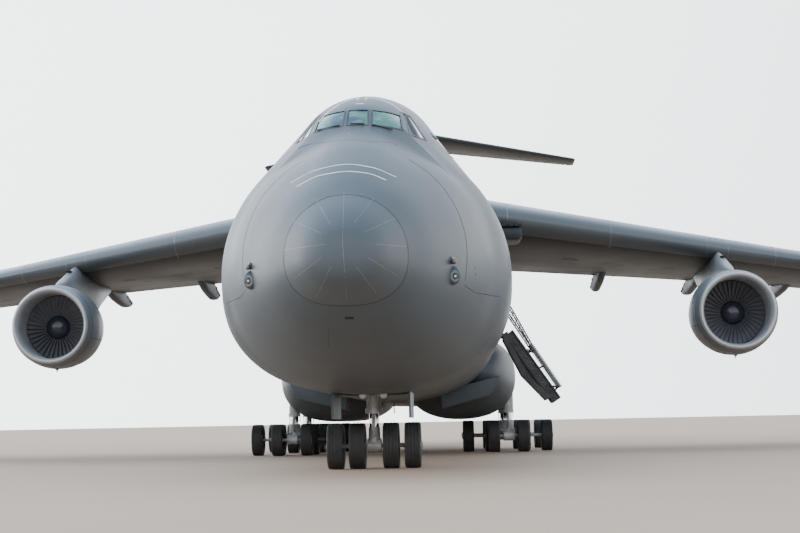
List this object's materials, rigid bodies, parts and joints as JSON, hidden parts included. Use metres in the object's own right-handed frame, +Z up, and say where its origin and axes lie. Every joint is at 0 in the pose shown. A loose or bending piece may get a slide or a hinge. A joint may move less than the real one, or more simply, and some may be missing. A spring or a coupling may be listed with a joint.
{
  "type": "four-engine military transport plane, 1:2 scale model",
  "caption": "Heavy military transport plane with a high swept wing, a tall T-tail, a lifting nose, ramps at both ends and wheels in rows under side pods.",
  "frame": {"origin": "centre of the bounding box's footprint, on the ground under the wheels", "axes": "+Y from the nose to the tail, +X to port, +Z up"},
  "size_m": [33.94, 37.7672, 9.9068],
  "materials": {
    "body_paint": "matte grey paint",
    "wing_paint": "matte grey paint",
    "cowl_paint": "satin light grey paint",
    "fan_metal": "dark bare titanium",
    "gear_paint": "gloss light grey paint",
    "tyre": "matte black rubber",
    "window": "green coated glass",
    "stair_metal": "bare grey metal",
    "ramp_floor": "worn grey floor"
  },
  "bodies": {
    "airframe": {"forward_body": "body_paint", "middle_body": "body_paint", "aft_body": "body_paint", "flight_deck_glass": "window", "wing_port": "wing_paint", "wing_starboard": "wing_paint", "flap_port": "wing_paint", "flap_starboard": "wing_paint", "fin": "wing_paint", "tailplane": "wing_paint", "gear_pod_port": "body_paint", "gear_pod_starboard": "body_paint", "nose_gear_door_port": "body_paint", "nose_gear_door_starboard": "body_paint", "cowl_1": "cowl_paint", "pylon_1": "cowl_paint", "cowl_2": "cowl_paint", "pylon_2": "cowl_paint", "cowl_3": "cowl_paint", "pylon_3": "cowl_paint", "cowl_4": "cowl_paint", "pylon_4": "cowl_paint", "bogie_forward_port": "gear_paint", "bogie_forward_starboard": "gear_paint"},
    "nose_visor": {"nose_visor": "body_paint", "radome": "body_paint"},
    "forward_ramp": {"forward_ramp": "ramp_floor"},
    "aft_ramp": {"aft_ramp": "ramp_floor"},
    "aft_door_port": {"aft_door_port": "body_paint"},
    "aft_door_starboard": {"aft_door_starboard": "body_paint"},
    "crew_door": {"crew_door": "body_paint", "crew_stairs": "stair_metal"},
    "rudder": {"rudder": "wing_paint"},
    "elevator_port": {"elevator_port": "wing_paint"},
    "elevator_starboard": {"elevator_starboard": "wing_paint"},
    "aileron_port": {"aileron_port": "wing_paint"},
    "aileron_starboard": {"aileron_starboard": "wing_paint"},
    "nose_gear": {"nose_leg": "gear_paint"},
    "aft_bogie_port": {"bogie_aft_port": "gear_paint"},
    "aft_bogie_starboard": {"bogie_aft_starboard": "gear_paint"},
    "fan_1": {"fan_1": "fan_metal"},
    "fan_2": {"fan_2": "fan_metal"},
    "fan_3": {"fan_3": "fan_metal"},
    "fan_4": {"fan_4": "fan_metal"},
    "nose_leg_wheels_port": {"nose_leg_wheels_port": "tyre"},
    "nose_leg_wheels_starboard": {"nose_leg_wheels_starboard": "tyre"},
    "bogie_forward_port_wheels_front": {"bogie_forward_port_wheels_front": "tyre"},
    "bogie_forward_port_wheels_outer": {"bogie_forward_port_wheels_outer": "tyre"},
    "bogie_forward_port_wheels_inner": {"bogie_forward_port_wheels_inner": "tyre"},
    "bogie_forward_starboard_wheels_front": {"bogie_forward_starboard_wheels_front": "tyre"},
    "bogie_forward_starboard_wheels_outer": {"bogie_forward_starboard_wheels_outer": "tyre"},
    "bogie_forward_starboard_wheels_inner": {"bogie_forward_starboard_wheels_inner": "tyre"},
    "bogie_aft_port_wheels_front": {"bogie_aft_port_wheels_front": "tyre"},
    "bogie_aft_port_wheels_outer": {"bogie_aft_port_wheels_outer": "tyre"},
    "bogie_aft_port_wheels_inner": {"bogie_aft_port_wheels_inner": "tyre"},
    "bogie_aft_starboard_wheels_front": {"bogie_aft_starboard_wheels_front": "tyre"},
    "bogie_aft_starboard_wheels_outer": {"bogie_aft_starboard_wheels_outer": "tyre"},
    "bogie_aft_starboard_wheels_inner": {"bogie_aft_starboard_wheels_inner": "tyre"}
  },
  "joints": [
    {"name": "nose_visor_hinge", "type": "hinge", "parent": "airframe", "child": "nose_visor", "pos_m": [0, -16.5725, 3.88], "axis": [-1, 0, 0], "range_deg": [0, 90]},
    {"name": "forward_ramp_hinge", "type": "hinge", "parent": "airframe", "child": "forward_ramp", "pos_m": [0, -15.3325, 1.5053], "axis": [1, 0, 0], "range_deg": [0, 125]},
    {"name": "aft_ramp_hinge", "type": "hinge", "parent": "airframe", "child": "aft_ramp", "pos_m": [0, 3.9478, 1.01], "axis": [-1, 0, 0], "range_deg": [0, 25]},
    {"name": "aft_door_port_hinge", "type": "hinge", "parent": "airframe", "child": "aft_door_port", "pos_m": [1.25, 6.8425, 1.5721], "axis": [0.1087, -0.9727, -0.2051], "range_deg": [0, 70]},
    {"name": "aft_door_starboard_hinge", "type": "hinge", "parent": "airframe", "child": "aft_door_starboard", "pos_m": [-1.25, 6.8425, 1.5721], "axis": [0.1087, 0.9727, 0.2051], "range_deg": [0, 70]},
    {"name": "crew_door_hinge", "type": "hinge", "parent": "airframe", "child": "crew_door", "pos_m": [1.76527, -12.1325, 1.8025], "axis": [0, 1, 0], "range_deg": [-146, 0]},
    {"name": "rudder_hinge", "type": "hinge", "parent": "airframe", "child": "rudder", "pos_m": [0, 14.11057, 5.375], "axis": [0, 0.4903, 0.8715], "range_deg": [-25, 25]},
    {"name": "elevator_port_hinge", "type": "hinge", "parent": "airframe", "child": "elevator_port", "pos_m": [0.425, 16.80141, 9.61655], "axis": [0.9391, 0.3357, -0.0739], "range_deg": [-15, 25]},
    {"name": "elevator_starboard_hinge", "type": "hinge", "parent": "airframe", "child": "elevator_starboard", "pos_m": [-0.425, 16.80141, 9.61655], "axis": [0.9391, -0.3357, 0.0739], "range_deg": [-15, 25]},
    {"name": "aileron_port_hinge", "type": "hinge", "parent": "airframe", "child": "aileron_port", "pos_m": [11.7, 0.35244, 3.18957], "axis": [0.9319, 0.3541, -0.0793], "range_deg": [-20, 20]},
    {"name": "aileron_starboard_hinge", "type": "hinge", "parent": "airframe", "child": "aileron_starboard", "pos_m": [-11.7, 0.35244, 3.18957], "axis": [0.9319, -0.3541, 0.0793], "range_deg": [-20, 20]},
    {"name": "fan_1_spin", "type": "hinge", "parent": "airframe", "child": "fan_1", "pos_m": [9.4, -4.7325, 2.11], "axis": [0, 1, 0], "continuous": true},
    {"name": "fan_2_spin", "type": "hinge", "parent": "airframe", "child": "fan_2", "pos_m": [6, -6.5825, 2.415], "axis": [0, 1, 0], "continuous": true},
    {"name": "fan_3_spin", "type": "hinge", "parent": "airframe", "child": "fan_3", "pos_m": [-6, -6.5825, 2.415], "axis": [0, 1, 0], "continuous": true},
    {"name": "fan_4_spin", "type": "hinge", "parent": "airframe", "child": "fan_4", "pos_m": [-9.4, -4.7325, 2.11], "axis": [0, 1, 0], "continuous": true},
    {"name": "nose_steering", "type": "hinge", "parent": "airframe", "child": "nose_gear", "pos_m": [0, -13.3825, 0.5], "axis": [0, 0, 1], "range_deg": [-60, 60]},
    {"name": "aft_bogie_port_caster", "type": "hinge", "parent": "airframe", "child": "aft_bogie_port", "pos_m": [2.085, -0.8825, 0.5], "axis": [0, 0, 1], "range_deg": [-20, 20]},
    {"name": "aft_bogie_starboard_caster", "type": "hinge", "parent": "airframe", "child": "aft_bogie_starboard", "pos_m": [-2.085, -0.8825, 0.5], "axis": [0, 0, 1], "range_deg": [-20, 20]},
    {"name": "nose_leg_wheels_port_spin", "type": "hinge", "parent": "nose_gear", "child": "nose_leg_wheels_port", "pos_m": [0.37, -13.3825, 0.30523], "axis": [1, 0, 0], "continuous": true},
    {"name": "nose_leg_wheels_starboard_spin", "type": "hinge", "parent": "nose_gear", "child": "nose_leg_wheels_starboard", "pos_m": [-0.37, -13.3825, 0.30523], "axis": [1, 0, 0], "continuous": true},
    {"name": "bogie_forward_port_wheels_front_spin", "type": "hinge", "parent": "airframe", "child": "bogie_forward_port_wheels_front", "pos_m": [2.085, -4.095, 0.30523], "axis": [1, 0, 0], "continuous": true},
    {"name": "bogie_forward_port_wheels_outer_spin", "type": "hinge", "parent": "airframe", "child": "bogie_forward_port_wheels_outer", "pos_m": [2.6375, -3.27, 0.30523], "axis": [1, 0, 0], "continuous": true},
    {"name": "bogie_forward_port_wheels_inner_spin", "type": "hinge", "parent": "airframe", "child": "bogie_forward_port_wheels_inner", "pos_m": [1.5325, -3.27, 0.30523], "axis": [1, 0, 0], "continuous": true},
    {"name": "bogie_forward_starboard_wheels_front_spin", "type": "hinge", "parent": "airframe", "child": "bogie_forward_starboard_wheels_front", "pos_m": [-2.085, -4.095, 0.30523], "axis": [1, 0, 0], "continuous": true},
    {"name": "bogie_forward_starboard_wheels_outer_spin", "type": "hinge", "parent": "airframe", "child": "bogie_forward_starboard_wheels_outer", "pos_m": [-2.6375, -3.27, 0.30523], "axis": [1, 0, 0], "continuous": true},
    {"name": "bogie_forward_starboard_wheels_inner_spin", "type": "hinge", "parent": "airframe", "child": "bogie_forward_starboard_wheels_inner", "pos_m": [-1.5325, -3.27, 0.30523], "axis": [1, 0, 0], "continuous": true},
    {"name": "bogie_aft_port_wheels_front_spin", "type": "hinge", "parent": "aft_bogie_port", "child": "bogie_aft_port_wheels_front", "pos_m": [2.085, -1.295, 0.30523], "axis": [1, 0, 0], "continuous": true},
    {"name": "bogie_aft_port_wheels_outer_spin", "type": "hinge", "parent": "aft_bogie_port", "child": "bogie_aft_port_wheels_outer", "pos_m": [2.6375, -0.47, 0.30523], "axis": [1, 0, 0], "continuous": true},
    {"name": "bogie_aft_port_wheels_inner_spin", "type": "hinge", "parent": "aft_bogie_port", "child": "bogie_aft_port_wheels_inner", "pos_m": [1.5325, -0.47, 0.30523], "axis": [1, 0, 0], "continuous": true},
    {"name": "bogie_aft_starboard_wheels_front_spin", "type": "hinge", "parent": "aft_bogie_starboard", "child": "bogie_aft_starboard_wheels_front", "pos_m": [-2.085, -1.295, 0.30523], "axis": [1, 0, 0], "continuous": true},
    {"name": "bogie_aft_starboard_wheels_outer_spin", "type": "hinge", "parent": "aft_bogie_starboard", "child": "bogie_aft_starboard_wheels_outer", "pos_m": [-2.6375, -0.47, 0.30523], "axis": [1, 0, 0], "continuous": true},
    {"name": "bogie_aft_starboard_wheels_inner_spin", "type": "hinge", "parent": "aft_bogie_starboard", "child": "bogie_aft_starboard_wheels_inner", "pos_m": [-1.5325, -0.47, 0.30523], "axis": [1, 0, 0], "continuous": true}
  ],
  "couplings": [
    {"joint": "forward_ramp_hinge", "follows": "nose_visor_hinge", "ratio": 1.388},
    {"joint": "elevator_starboard_hinge", "follows": "elevator_port_hinge", "ratio": 1},
    {"joint": "aileron_starboard_hinge", "follows": "aileron_port_hinge", "ratio": -1}
  ]
}
